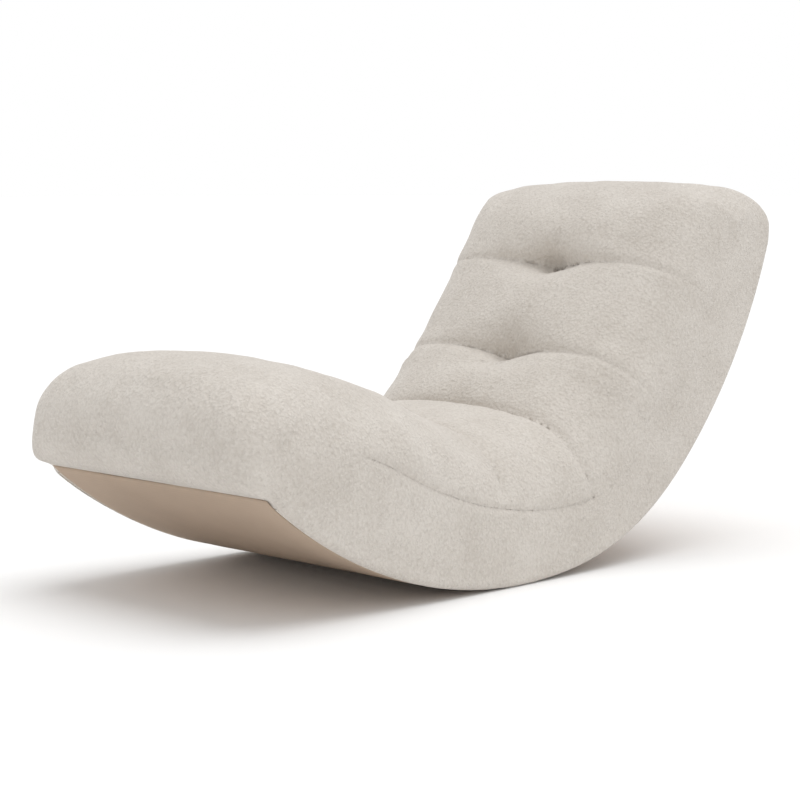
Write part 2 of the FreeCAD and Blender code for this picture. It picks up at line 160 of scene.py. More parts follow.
@dataclass(frozen=True)
class Place:
    """Where points lie on the rocker: heading in degrees, depth over the underside, arc's radius."""

    heading: np.ndarray
    depth: np.ndarray
    radius: np.ndarray

    def past(self, heading: float) -> np.ndarray:
        """How far the points lie past a heading, in metres along the chair."""
        return np.radians(self.heading - heading) * (self.radius - self.depth)


@dataclass(frozen=True)
class RockerProfile:
    """Underside of the chair: three tangent arcs, in metres and in degrees of heading."""

    belly_radius: float = 1.075
    loin_radius: float = 0.680
    back_radius: float = 1.210
    toe_heading: float = -39.8
    belly_end: float = 9.5
    loin_end: float = 41.7
    head_heading: float = 71.9
    floor_flat: float = 0.0005
    toe_plane: float = -0.668

    def way_in(self, heading: np.ndarray) -> np.ndarray:
        """Direction square to the underside, into the chair."""
        angle = np.radians(heading)
        return np.stack([-np.sin(angle), np.zeros_like(angle), np.cos(angle)], axis=-1)

    def way_on(self, heading: np.ndarray) -> np.ndarray:
        """Direction along the underside, towards the head."""
        angle = np.radians(heading)
        return np.stack([np.cos(angle), np.zeros_like(angle), np.sin(angle)], axis=-1)

    def arcs(self) -> list:
        """Works out the three arcs.

        Returns:
            Centre, radius and last heading of each arc, from the toe.
        """
        belly = np.array([0.0, 0.0, self.belly_radius - self.floor_flat])
        loin = belly - self.way_in(np.array(self.belly_end)) * (self.belly_radius - self.loin_radius)
        back = loin - self.way_in(np.array(self.loin_end)) * (self.loin_radius - self.back_radius)
        return [
            (belly, self.belly_radius, self.belly_end),
            (loin, self.loin_radius, self.loin_end),
            (back, self.back_radius, math.inf),
        ]

    def length(self) -> float:
        """Adds up the arcs.

        Returns:
            The underside's length from the toe to the head.
        """
        bends = (self.toe_heading, self.belly_end, self.loin_end, self.head_heading)
        turns = zip(self.arcs(), bends, bends[1:])
        return sum(math.radians(after - before) * arc[1] for arc, before, after in turns)

    def locate(self, points: np.ndarray) -> Place:
        """Finds where points lie on the rocker.

        Args:
            points: places in the part's frame, in metres.

        Returns:
            Their heading, depth and local radius.
        """
        heading = np.full(len(points), math.inf)
        depth = np.zeros(len(points))
        radius = np.zeros(len(points))
        for centre, arc_radius, last in reversed(self.arcs()):
            reach = points - centre
            angle = np.degrees(np.arctan2(reach[:, 0], -reach[:, 2]))
            here = angle <= last
            heading[here] = angle[here]
            depth[here] = arc_radius - np.hypot(reach[here, 0], reach[here, 2])
            radius[here] = arc_radius
        return Place(heading, depth, radius)

    def at(self, heading: np.ndarray, depth: float) -> np.ndarray:
        """Finds points on the centre plane.

        Args:
            heading: their headings.
            depth: their depth over the underside.

        Returns:
            The points.
        """
        found = np.zeros((len(heading), 3))
        for centre, arc_radius, last in reversed(self.arcs()):
            here = heading <= last
            found[here] = centre - self.way_in(heading[here]) * (arc_radius - depth)
        return found


@dataclass(frozen=True)
class Boucle:
    """Short warm off-white teddy boucle, with its curls, worn patches and lift in metres."""

    light: tuple = (0.717, 0.668, 0.610)
    dark: tuple = (0.534, 0.482, 0.424)
    curl: float = 0.006
    patch: float = 0.11
    bump: float = 0.9
    lift: float = 0.003
    roughness: float = 0.95
    sheen: float = 0.2
    sheen_roughness: float = 0.5


@dataclass(frozen=True)
class PlainCloth:
    """Woven cloth of one colour, whose threads lie 2 pi times the thread value apart."""

    light: tuple
    dark: tuple
    thread: float = 0.0011
    bump: float = 0.3
    lift: float = 0.0004
    roughness: float = 0.9


@dataclass(frozen=True)
class Wood:
    """Raw wood, with how many times finer its grain is along X, Y and Z."""

    light: tuple
    dark: tuple
    finer: tuple
    grain: float = 6.0
    detail: float = 8.0
    twist: float = 1.1
    dark_until: float = 0.32
    light_from: float = 0.68
    roughness: float = 0.62


@dataclass(frozen=True)
class Plain:
    """A plain finish with a slight mottle down to a shade of its colour."""

    colour: tuple
    roughness: float
    metallic: float = 0.0
    mottle: float = 35.0
    shade: float = 0.86


def add_node(tree: bpy.types.NodeTree, kind: str, inputs: dict | None = None, **settings) -> bpy.types.Node:
    """Adds a shader node.

    Args:
        tree: the tree it goes in.
        kind: the node's type.
        inputs: a value, or another node's socket, by input name or number.
        settings: the node's own settings, which are made before its inputs.

    Returns:
        The node.
    """
    node = tree.nodes.new(kind)
    for name, value in settings.items():
        setattr(node, name, value)
    for name, value in (inputs or {}).items():
        if isinstance(value, bpy.types.NodeSocket):
            tree.links.new(value, node.inputs[name])
        else:
            node.inputs[name].default_value = value
    return node


def add_math(tree: bpy.types.NodeTree, kind: str, first: object, second: object) -> bpy.types.NodeSocket:
    """Adds a step of arithmetic on two values and gives its socket."""
    return add_node(tree, "ShaderNodeMath", {0: first, 1: second}, operation=kind).outputs["Value"]


def add_blend(tree: bpy.types.NodeTree, share: object, dark: object, light: object) -> bpy.types.NodeSocket:
    """Adds a blend from a dark to a light colour and gives its socket."""
    inputs = {"Factor": share, "A": dark, "B": light}
    return add_node(tree, "ShaderNodeMix", inputs, data_type="RGBA").outputs["Result"]


def add_place(tree: bpy.types.NodeTree) -> bpy.types.NodeSocket:
    """Adds the place on the object, which every pattern here follows, and gives its socket."""
    return add_node(tree, "ShaderNodeTexCoord").outputs["Object"]


class Paint:
    """Makes the shader groups and materials."""

    CURL_DETAIL = 3.0
    CURL_TWIST = 1.4
    CURL_SHARE = 0.8
    PATCH_DETAIL = 4.0
    PATCH_SHARE = 0.9
    LEAST_SHARE = 0.22
    THREAD_TWIST = 0.6
    THREAD_SHARE = 0.2
    YARN_SCALE = 9.0
    YARN_DETAIL = 6.0
    WAVE_RADIANS = 20.0

    def __init__(self) -> None:
        """Builds the shared groups once."""
        self.curls = self.curl_group()
        self.weave = self.weave_group()

    @staticmethod
    def group(name: str, scales: tuple) -> tuple:
        """Starts a group that takes scales and two colours and gives a colour and a height.

        Args:
            name: the group's name.
            scales: the names of its scale inputs.

        Returns:
            The group, its input node and its output node.
        """
        tree = bpy.data.node_groups.new(name, "ShaderNodeTree")
        kinds = {label: "NodeSocketFloat" for label in scales}
        kinds.update({"Light": "NodeSocketColor", "Dark": "NodeSocketColor"})
        for label, kind in kinds.items():
            tree.interface.new_socket(label, in_out="INPUT", socket_type=kind)
        for label, kind in (("Color", "NodeSocketColor"), ("Height", "NodeSocketFloat")):
            tree.interface.new_socket(label, in_out="OUTPUT", socket_type=kind)
        return tree, tree.nodes.new("NodeGroupInput"), tree.nodes.new("NodeGroupOutput")

    def curl_group(self) -> bpy.types.NodeTree:
        """Makes the boucle's group: small curls, worn patches and their height.

        Returns:
            The group.
        """
        tree, start, end = self.group("Curls", ("Curl scale", "Patch scale"))
        place = add_place(tree)
        small = {"Vector": place, "Scale": start.outputs["Curl scale"]}
        curly = {**small, "Detail": self.CURL_DETAIL, "Distortion": self.CURL_TWIST}
        large = {"Vector": place, "Scale": start.outputs["Patch scale"], "Detail": self.PATCH_DETAIL}
        curl = add_node(tree, "ShaderNodeTexNoise", curly)
        knot = add_node(tree, "ShaderNodeTexVoronoi", small, feature="SMOOTH_F1")
        patch = add_node(tree, "ShaderNodeTexNoise", large)
        height = add_math(tree, "SUBTRACT", curl.outputs["Fac"], knot.outputs["Distance"])
        shade = add_math(tree, "MULTIPLY", height, self.CURL_SHARE)
        wear = add_math(tree, "MULTIPLY", patch.outputs["Fac"], self.PATCH_SHARE)
        share = add_math(tree, "ADD", add_math(tree, "ADD", shade, wear), self.LEAST_SHARE)
        colour = add_blend(tree, share, start.outputs["Dark"], start.outputs["Light"])
        tree.links.new(colour, end.inputs["Color"])
        tree.links.new(height, end.inputs["Height"])
        return tree

    def weave_group(self) -> bpy.types.NodeTree:
        """Makes the cloths' group: crossed threads with uneven yarn.

        Returns:
            The group.
        """
        tree, start, end = self.group("Weave", ("Thread scale",))
        place = add_place(tree)
        threads = {
            "Vector": place,
            "Scale": start.outputs["Thread scale"],
            "Distortion": self.THREAD_TWIST,
        }
        uneven = {"Vector": place, "Scale": self.YARN_SCALE, "Detail": self.YARN_DETAIL}
        warp = add_node(tree, "ShaderNodeTexWave", threads, bands_direction="X")
        weft = add_node(tree, "ShaderNodeTexWave", threads, bands_direction="Y")
        yarn = add_node(tree, "ShaderNodeTexNoise", uneven)
        height = add_math(tree, "ADD", warp.outputs["Fac"], weft.outputs["Fac"])
        shade = add_math(tree, "MULTIPLY", height, self.THREAD_SHARE)
        share = add_math(tree, "ADD", shade, yarn.outputs["Fac"])
        colour = add_blend(tree, share, start.outputs["Dark"], start.outputs["Light"])
        tree.links.new(colour, end.inputs["Color"])
        tree.links.new(height, end.inputs["Height"])
        return tree

    @staticmethod
    def blank(name: str, roughness: float) -> tuple:
        """Makes a new material with its shader.

        Args:
            name: the material's name.
            roughness: the shader's roughness.

        Returns:
            The material and its Principled shader.
        """
        material = bpy.data.materials.new(name)
        material.use_nodes = True
        shader = material.node_tree.nodes["Principled BSDF"]
        shader.inputs["Roughness"].default_value = roughness
        return material, shader

    def textured(self, name: str, finish: Boucle | PlainCloth, group: bpy.types.NodeTree,
                 scales: dict) -> tuple:
        """Makes a material from a shader group that gives colour and height.

        Args:
            name: the material's name.
            finish: its colours, bump and roughness.
            group: the shader group.
            scales: the group's scales by name.

        Returns:
            The material and its shader.
        """
        material, shader = self.blank(name, finish.roughness)
        tree = material.node_tree
        values = {**scales, "Light": (*finish.light, 1.0), "Dark": (*finish.dark, 1.0)}
        use = add_node(tree, "ShaderNodeGroup", values, node_tree=group)
        bump = {"Strength": finish.bump, "Distance": finish.lift, "Height": use.outputs["Height"]}
        raised = add_node(tree, "ShaderNodeBump", bump)
        tree.links.new(use.outputs["Color"], shader.inputs["Base Color"])
        tree.links.new(raised.outputs["Normal"], shader.inputs["Normal"])
        return material, shader

    def boucle(self, name: str, finish: Boucle) -> bpy.types.Material:
        """Makes the material of a boucle finish.

        Args:
            name: the material's name.
            finish: the boucle.

        Returns:
            The material.
        """
        scales = {"Curl scale": 1.0 / finish.curl, "Patch scale": 1.0 / finish.patch}
        material, shader = self.textured(name, finish, self.curls, scales)
        shader.inputs["Sheen Weight"].default_value = finish.sheen
        shader.inputs["Sheen Roughness"].default_value = finish.sheen_roughness
        return material

    def cloth(self, name: str, finish: PlainCloth) -> bpy.types.Material:
        """Material of a plain cloth."""
        scales = {"Thread scale": 1.0 / finish.thread / self.WAVE_RADIANS}
        return self.textured(name, finish, self.weave, scales)[0]

    def wood(self, name: str, finish: Wood) -> bpy.types.Material:
        """Makes the material of raw wood.

        Args:
            name: the material's name.
            finish: the wood.

        Returns:
            The material.
        """
        material, shader = self.blank(name, finish.roughness)
        tree = material.node_tree
        drawn = add_node(tree, "ShaderNodeMapping", {"Vector": add_place(tree), "Scale": finish.finer})
        rings = {
            "Vector": drawn.outputs["Vector"],
            "Scale": finish.grain,
            "Detail": finish.detail,
            "Distortion": finish.twist,
        }
        grain = add_node(tree, "ShaderNodeTexNoise", rings)
        ramp = add_node(tree, "ShaderNodeValToRGB", {"Fac": grain.outputs["Fac"]})
        dark, light = ramp.color_ramp.elements
        dark.position = finish.dark_until
        light.position = finish.light_from
        dark.color = (*finish.dark, 1.0)
        light.color = (*finish.light, 1.0)
        tree.links.new(ramp.outputs["Color"], shader.inputs["Base Color"])
        return material

    def plain(self, name: str, finish: Plain) -> bpy.types.Material:
        """Makes the material of a plain finish.

        Args:
            name: the material's name.
            finish: the finish.

        Returns:
            The material.
        """
        material, shader = self.blank(name, finish.roughness)
        tree = material.node_tree
        mottle = add_node(tree, "ShaderNodeTexNoise", {"Vector": add_place(tree), "Scale": finish.mottle})
        shaded = (*(finish.shade * part for part in finish.colour), 1.0)
        colour = add_blend(tree, mottle.outputs["Fac"], shaded, (*finish.colour, 1.0))
        tree.links.new(colour, shader.inputs["Base Color"])
        shader.inputs["Metallic"].default_value = finish.metallic
        return material


def select_only(*things: bpy.types.Object) -> None:
    """Selects some objects alone and makes the first one active.

    Args:
        things: the objects.
    """
    bpy.ops.object.select_all(action="DESELECT")
    for thing in things:
        thing.select_set(True)
    bpy.context.view_layer.objects.active = things[0]


def edit(thing: bpy.types.Object, pick: Pick, operator: Callable | None = None, **options) -> None:
    """Opens a mesh for editing, runs an operator on what is selected, and closes it.

    Args:
        thing: the mesh object.
        pick: what of it is selected.
        operator: the operator, if there is one.
        options: the operator's own settings.
    """
    select_only(thing)
    bpy.ops.object.mode_set(mode="EDIT")
    if pick is not Pick.KEPT:
        bpy.ops.mesh.select_all(action=pick.value)
    if operator is not None:
        operator(**options)
    bpy.ops.object.mode_set(mode="OBJECT")


def apply_all(thing: bpy.types.Object) -> None:
    """Applies every modifier of an object, in order.

    Args:
        thing: the object.
    """
    select_only(thing)
    for modifier in list(thing.modifiers):
        bpy.ops.object.modifier_apply(modifier=modifier.name)


def thicken(thing: bpy.types.Object, thickness: float) -> None:
    """Gives an open surface a wall on its inner side.

    Args:
        thing: the surface's object.
        thickness: the wall's thickness in metres.
    """
    wall = thing.modifiers.new("wall", "SOLIDIFY")
    wall.thickness = thickness
    wall.offset = -1.0
    apply_all(thing)


def read_array(items: bpy.types.bpy_prop_collection, name: str, width: int = 1,
               kind: type = float) -> np.ndarray:
    """Reads one attribute of a mesh's vertices, edges, corners or faces.

    Args:
        items: the vertices, edges, corners or faces.
        name: the attribute.
        width: how many numbers each of them has.
        kind: the numbers' type.

    Returns:
        The numbers, in rows where the width is over 1.
    """
    flat = np.empty(len(items) * width, dtype=kind)
    items.foreach_get(name, flat)
    return flat.reshape(-1, width) if width > 1 else flat


def read_points(mesh: bpy.types.Mesh) -> np.ndarray:
    """A mesh's vertices as an array."""
    return read_array(mesh.vertices, "co", 3)


def read_edges(mesh: bpy.types.Mesh) -> np.ndarray:
    """A mesh's edges as pairs of vertex numbers."""
    return read_array(mesh.edges, "vertices", 2, int)


def write_points(mesh: bpy.types.Mesh, points: np.ndarray) -> None:
    """Puts an array back as a mesh's vertices."""
    mesh.vertices.foreach_set("co", points.ravel())
    mesh.update()


def soft_normals(mesh: bpy.types.Mesh, rounds: int = 0) -> np.ndarray:
    """Averages a mesh's vertex normals with their neighbours'.

    Args:
        mesh: the mesh.
        rounds: how many times they are averaged.

    Returns:
        The normals.
    """
    normals = read_array(mesh.vertex_normals, "vector", 3)
    edges = read_edges(mesh)
    ends = np.concatenate([edges[:, 0], edges[:, 1]])
    others = np.concatenate([edges[:, 1], edges[:, 0]])
    for _ in range(rounds):
        around = [np.bincount(ends, normals[others, axis], len(normals)) for axis in range(3)]
        normals = unit(normals + np.stack(around, axis=1))
    return normals


@dataclass(frozen=True)
class Crease:
    """A sewn line across the chair between two cushions: its heading and its depths in metres."""

    heading: float
    groove: float
    tuft: float
    fill: float


@dataclass(frozen=True)
class Parting:
    """A surface that covers part along, as points see it: distance, way out of it, and where it holds."""

    distance: np.ndarray
    way: np.ndarray
    holds: np.ndarray


@dataclass(frozen=True)
class Filling:
    """How the form is blown up like filled cloth, and where it is held, in metres."""

    drawn_in: float = 0.0025
    draw_in: Fade = Fade(0.010, 0.020)
    off_crease: Fade = Fade(0.006, 0.020)
    off_seam: Fade = Fade(0.005, 0.015)
    off_bottom: Fade = Fade(0.016, 0.020)
    hold_steps: int = 8
    pressure: float = 4.0
    quality: int = 2
    frames: int = 14
    most: float = 0.007


@dataclass(frozen=True)
class Fold:
    """Small folds that run out from a tuft like spokes, turned a little further at each tuft."""

    count: float
    height: float
    turn: float
    turn_on: float

    def of(self, angle: np.ndarray, number: int) -> np.ndarray:
        """Height at angles round the tuft of a number."""
        return self.height * np.cos(angle * self.count + self.turn + self.turn_on * number)


@dataclass(frozen=True)
class Sewing:
    """What sewing and stuffing do to the swelled form, in metres."""

    uneven: tuple = (Ripple(0.0008, 0.16, 3), Ripple(0.0005, 0.055, 5))
    upper: Fade = Fade(0.020, 0.050)
    to_side: Fade = Fade(0.120, 0.170)
    side_loss: float = 0.6
    groove: Bell = Bell(0.010, 1.4)
    fill: Bell = Bell(0.032)
    pucker: Ripple = Ripple(0.0007, 0.035, 40, 12)
    puckered: Bell = Bell(0.035)
    tuft: Bell = Bell(0.050, 1.3)
    folds: tuple = (Fold(7.0, 0.0016, 0.0, 0.9), Fold(11.0, 0.00096, 2.0, 1.0))
    fold_reach: float = 0.045
    fold_tuft: float = 0.014
    seam_groove: float = 0.0045
    seam: Bell = Bell(0.006, 1.3)
    normal_rounds: int = 8


@dataclass
class Upholstery:
    """The boucle covers: one soft form, swelled, sewn and parted into cushions and bands."""

    profile: RockerProfile
    filling: Filling = Filling()
    sewing: Sewing = Sewing()
    voxel: float = 0.008
    fine_voxel: float = 0.005
    quick_voxel: float = 0.010
    relax_share: float = 0.5
    relax_rounds: int = 4
    cover: float = 0.004
    parting: float = 0.00008
    crisp_angle: float = 50.0
    fullness: float = 0.8
    band_inside: float = 0.300
    under_edge: float = 0.3452
    under_depth: float = 0.012
    toe_depth: float = 0.150
    crease_band: float = 0.020
    toe_margin: float = 0.001
    head_margin: float = 0.1
    least_square: float = 0.15
    seam: tuple = (
        (-41.0, 0.136), (-36.0, 0.164), (-29.0, 0.194), (-16.0, 0.188), (-3.6, 0.166),
        (16.3, 0.131), (32.0, 0.136), (50.0, 0.150), (72.9, 0.140),
    )
    seam_start: Fade = Fade(-33.0, 5.0)
    seam_stop: Fade = Fade(17.0, 1.5)
    over_seam: Fade = Fade(-0.005, 0.050)
    creases: tuple = (
        Crease(-3.0, 0.006, 0.004, 0.000),
        Crease(17.0, 0.008, 0.005, 0.004),
        Crease(44.6, 0.005, 0.009, 0.008),
        Crease(61.0, 0.005, 0.010, 0.008),
    )
    pieces: dict = field(default_factory=dict)
    on_line: np.ndarray = field(default_factory=lambda: np.empty(0, dtype=int))

    def blank(self) -> bpy.types.Object:
        """Joins copies of the soft nodes and skins them over as one closed form.

        Returns:
            The form, with an even mesh.
        """
        names = [region.value + part for region in CUSHIONS for part in ("_cover", "_pad", "_core")]
        names += ["near_band", "far_band", "near_side_foam", "far_side_foam", "toe_foam", "head_foam"]
        names += ["rocker_board", "near_welt", "far_welt", "deck_cloth"]
        copies = []
        for name in names:
            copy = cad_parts[name].copy()
            copy.data = copy.data.copy()
            copy.parent = None
            for key in [key for key in copy.keys() if key.startswith("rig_")]:
                del copy[key]
            bpy.context.scene.collection.objects.link(copy)
            copies.append(copy)
        select_only(*copies)
        bpy.ops.object.join()
        form = bpy.context.view_layer.objects.active
        form.name = "upholstery_form"
        form.data.materials.clear()
        self.skin_over(form, self.voxel)
        return self.outer_shell(form)

    @staticmethod
    def outer_shell(form: bpy.types.Object) -> bpy.types.Object:
        """Drops every loose shell inside the form.

        Args:
            form: the form, which is used up.

        Returns:
            Its largest shell, which is its outside.
        """
        edit(form, Pick.ALL, bpy.ops.mesh.separate, type="LOOSE")
        shells = sorted(bpy.context.selected_objects, key=lambda shell: shell.dimensions.length)
        for shell in shells[:-1]:
            bpy.data.objects.remove(shell)
        return shells[-1]

    @staticmethod
    def skin_over(form: bpy.types.Object, size: float) -> None:
        """Gives a form an even mesh of one edge length.

        Args:
            form: the form, which is changed.
            size: the edge length in metres.
        """
        select_only(form)
        form.data.remesh_voxel_size = size
        form.data.remesh_voxel_adaptivity = 0.0
        bpy.ops.object.voxel_remesh()

    def relax(self, form: bpy.types.Object) -> None:
        """Smooths the steps that skinning over leaves.

        Args:
            form: the form, which is changed.
        """
        relax = form.modifiers.new("relax", "SMOOTH")
        relax.factor = self.relax_share
        relax.iterations = self.relax_rounds
        apply_all(form)

    def over_side_seam(self, place: Place) -> np.ndarray:
        """How far points lie over the side seam, in metres."""
        return place.depth - curve_through(self.seam, place.heading)

    def crease_share(self, place: Place) -> np.ndarray:
        """Share of a crease that is left, which runs out on the sides."""
        return self.over_seam.of(self.over_side_seam(place))

    def seam_share(self, points: np.ndarray, place: Place) -> np.ndarray:
        """Share of the sewn side seam that shows: none at the toe's end and none up the back."""
        shown = self.seam_start.of(place.heading) * (1.0 - self.seam_stop.of(place.heading))
        return (np.abs(points[:, 1]) > self.band_inside) * shown

    def held_shares(self, points: np.ndarray) -> np.ndarray:
        """Works out how firmly the form is held along its creases, seams and underside.

        Args:
            points: the form's vertices.

        Returns:
            A share for each, from 0, free to swell, to 1, held.
        """
        place = self.profile.locate(points)
        held = 1.0 - self.filling.off_bottom.of(place.depth)
        for crease in self.creases:
            near = 1.0 - self.filling.off_crease.of(np.abs(place.past(crease.heading)))
            held = np.maximum(held, near * self.crease_share(place))
        near = 1.0 - self.filling.off_seam.of(np.abs(self.over_side_seam(place)))
        return np.maximum(held, near * self.seam_share(points, place))

    def swell(self, form: bpy.types.Object) -> None:
        """Blows the form up like filled cloth, and caps how far each point moves.

        Args:
            form: the even form, which is changed.
        """
        filling = self.filling
        rest = read_points(form.data)
        drawn_in = filling.drawn_in * filling.draw_in.of(self.profile.locate(rest).depth)
        start = rest - soft_normals(form.data) * drawn_in[:, None]
        write_points(form.data, start)
        group = form.vertex_groups.new(name="held")
        steps = np.round(self.held_shares(rest) * filling.hold_steps).astype(int)
        for step in range(1, filling.hold_steps + 1):
            group.add(np.nonzero(steps == step)[0].tolist(), step / filling.hold_steps, "REPLACE")
        select_only(form)
        bpy.ops.object.modifier_add(type="CLOTH")
        cloth = form.modifiers[-1]
        cloth.settings.use_pressure = True
        cloth.settings.uniform_pressure_force = filling.pressure
        cloth.settings.effector_weights.gravity = 0.0
        cloth.settings.vertex_group_mass = "held"
        cloth.settings.quality = filling.quality
        cloth.point_cache.frame_end = filling.frames
        for number in range(1, filling.frames + 1):
            bpy.context.scene.frame_set(number)
        bpy.ops.object.modifier_apply(modifier=cloth.name)
        bpy.context.scene.frame_set(1)
        moved = read_points(form.data) - start
        length = np.linalg.norm(moved, axis=1)
        kept = np.minimum(1.0, filling.most / np.maximum(length, TINY))
        write_points(form.data, start + moved * kept[:, None])
        log.info("cloth moved %.1f mm on average, %.1f mm at most", length.mean() * 1000, length.max() * 1000)
        form.vertex_groups.clear()

    def partings(self, points: np.ndarray) -> list:
        """Works out the surfaces that the covers part along.

        Args:
            points: the form's vertices.

        Returns:
            The four creases, the head's end, the toe's end, the side seam and the underside's edge.
        """
        profile = self.profile
        place = profile.locate(points)
        across = points[:, 1]
        side = np.abs(across) > self.band_inside
        before_head = place.heading < profile.head_heading + self.head_margin
        on_chair = (points[:, 0] > profile.toe_plane - self.toe_margin) & before_head
        found = []
        for stop in [crease.heading for crease in self.creases] + [profile.head_heading]:
            distance = place.past(stop)
            near = np.abs(distance) < self.crease_band
            found.append(Parting(distance, profile.way_on(place.heading), near))
        headward = np.tile([1.0, 0.0, 0.0], (len(points), 1))
        low = (place.depth < self.under_depth) | (side & (place.depth < self.toe_depth))
        found.append(Parting(points[:, 0] - profile.toe_plane, headward, low))
        found.append(Parting(self.over_side_seam(place), profile.way_in(place.heading), side & on_chair))
        outward = np.stack([across * 0.0, np.sign(across), across * 0.0], axis=1)
        bottom = on_chair & (place.depth < self.under_depth)
        found.append(Parting(np.abs(across) - self.under_edge, outward, bottom))
        return found

    def draw_lines(self, form: bpy.types.Object) -> None:
        """Moves vertices onto the parting lines, so that edges run along them.

        Args:
            form: the swelled form, which is changed.
        """
        mesh = form.data
        points = read_points(mesh)
        normals = soft_normals(mesh)
        first, second = read_edges(mesh).T
        self.on_line = np.full(len(points), -1)
        for number in range(len(self.partings(points[:1]))):
            parting = self.partings(points)[number]
            value = parting.distance
            crossing = (value[first] * value[second] < 0.0) & parting.holds[first] & parting.holds[second]
            start, end = first[crossing], second[crossing]
            nearer = np.unique(np.where(np.abs(value[start]) < np.abs(value[end]), start, end))
            out = parting.way[nearer]
            way = out - (out * normals[nearer]).sum(axis=1)[:, None] * normals[nearer]
            square = np.maximum((way * out).sum(axis=1), self.least_square)
            points[nearer] -= way * (value[nearer] / square)[:, None]
            self.on_line[nearer] = number
        write_points(mesh, points)
        edit(form, Pick.NONE, bpy.ops.mesh.select_mode, type="VERT")
        mesh.vertices.foreach_set("select", self.on_line >= 0)
        edit(form, Pick.KEPT, bpy.ops.mesh.vert_connect)

    def regions_of(self, mesh: bpy.types.Mesh) -> np.ndarray:
        """Finds the region that each face's middle lies in.

        Args:
            mesh: the form, or a piece of it.

        Returns:
            Each face's number in REGIONS.
        """
        middles = read_array(mesh.polygons, "center", 3)
        place = self.profile.locate(middles)
        across = middles[:, 1]
        kind = np.zeros(len(middles), dtype=np.int32)
        for number, crease in enumerate(self.creases, start=1):
            kind[place.heading > crease.heading] = number
        inside = (middles[:, 0] > self.profile.toe_plane) & (place.heading < self.profile.head_heading)
        low = inside & (self.over_side_seam(place) < 0.0) & (np.abs(across) > self.band_inside)
        kind[low & (across < 0.0)] = REGIONS.index(Region.NEAR_BAND)
        kind[low & (across > 0.0)] = REGIONS.index(Region.FAR_BAND)
        bottom = inside & (place.depth < self.under_depth) & (np.abs(across) < self.under_edge)
        kind[bottom] = REGIONS.index(Region.UNDERSIDE)
        return kind

    def mark(self, form: bpy.types.Object) -> None:
        """Numbers every face with its region.

        Args:
            form: the form with its lines drawn, which is changed.
        """
        for _ in REGIONS:
            form.data.materials.append(None)
        form.data.polygons.foreach_set("material_index", self.regions_of(form.data))

    def crease_relief(self, points: np.ndarray, place: Place, number: int) -> np.ndarray:
        """Works out the groove, side filling, puckers, tuft and folds of one crease.

        Args:
            points: the form's vertices.
            place: where they lie.
            number: which crease, from the toe.

        Returns:
            How far each point moves out, in metres.
        """
        sewing = self.sewing
        crease = self.creases[number]
        across = points[:, 1]
        reach = place.past(crease.heading)
        to_side = sewing.to_side.of(np.abs(across))
        relief = -crease.groove * (1.0 - sewing.side_loss * to_side) * sewing.groove.of(reach)
        relief += crease.fill * to_side * sewing.fill.of(reach)
        pucker = replace(sewing.pucker, seed=sewing.pucker.seed + number)
        relief += pucker.at(points * (0.0, 1.0, 0.0)) * sewing.puckered.of(reach)
        centre = np.hypot(reach, across)
        relief -= crease.tuft * sewing.tuft.of(centre)
        folds = sum(fold.of(np.arctan2(reach, across), number) for fold in sewing.folds)
        ring = (centre / sewing.fold_reach) ** 2 * Bell(sewing.fold_reach).of(centre)
        relief += folds * ring * (crease.tuft / sewing.fold_tuft)
        return relief * self.crease_share(place)

    def sew(self, form: bpy.types.Object) -> None:
        """Presses in the creases, tufts, side seams and small folds.

        Args:
            form: the marked form, which is changed.
        """
        sewing = self.sewing
        points = read_points(form.data)
        place = self.profile.locate(points)
        out = sum(ripple.at(points) for ripple in sewing.uneven) * sewing.upper.of(place.depth)
        for number in range(len(self.creases)):
            out += self.crease_relief(points, place, number)
        seam = sewing.seam.of(self.over_side_seam(place)) * self.seam_share(points, place)
        out -= sewing.seam_groove * seam
        points = points + soft_normals(form.data, sewing.normal_rounds) * out[:, None]
        for number in range(len(self.partings(points[:1]))):
            parting = self.partings(points)[number]
            chosen = self.on_line == number
            points[chosen] -= (parting.way * parting.distance[:, None])[chosen]
        write_points(form.data, points)

    def part(self, form: bpy.types.Object) -> None:
        """Parts the form into separate covers and gives each the cover's thickness.

        Args:
            form: the sewn form, which is used up.
        """
        edit(form, Pick.ALL, bpy.ops.mesh.separate, type="MATERIAL")
        for cover in list(bpy.context.selected_objects):
            region = REGIONS[np.bincount(self.regions_of(cover.data)).argmax()]
            if region is Region.UNDERSIDE:
                bpy.data.objects.remove(cover)
                continue
            cover.name = region.value + "_upholstery"
            cover.data.materials.clear()
            self.open_partings(cover.data)
            select_only(cover)
            bpy.ops.object.shade_smooth()
            thicken(cover, self.cover)
            bpy.ops.object.shade_smooth_by_angle(angle=math.radians(self.crisp_angle))
            self.pieces[region] = cover

    def open_partings(self, mesh: bpy.types.Mesh) -> None:
        """Draws a cover's edges in by half the running gap.

        Args:
            mesh: the cover before it has a wall, which is changed.
        """
        points = read_points(mesh)
        edges = read_edges(mesh)
        uses = np.bincount(read_array(mesh.loops, "edge_index", kind=int), minlength=len(edges))
        rim = np.unique(edges[uses == 1])
        corners = read_array(mesh.loops, "vertex_index", kind=int)
        middles = read_array(mesh.polygons, "center", 3)
        sides = read_array(mesh.polygons, "loop_total", kind=int)
        total = np.zeros_like(points)
        np.add.at(total, corners, np.repeat(middles, sides, axis=0))
        faces = np.bincount(corners, minlength=len(points))
        points[rim] += unit(total[rim] / faces[rim][:, None] - points[rim]) * self.parting
        write_points(mesh, points)

    @staticmethod
    def stands_for(region: Region) -> list:
        """Lists the nodes that a region's cover stands for.

        Args:
            region: the cover's region.

        Returns:
            The nodes' names.
        """
        name = region.value
        if region in (Region.NEAR_BAND, Region.FAR_BAND):
            return [name, name.replace("_band", "_side_foam")]
        ends = {Region.CALF: ["toe_foam"], Region.HEAD: ["head_foam"]}
        return [name + "_cover", name + "_pad"] + ends.get(region, [])

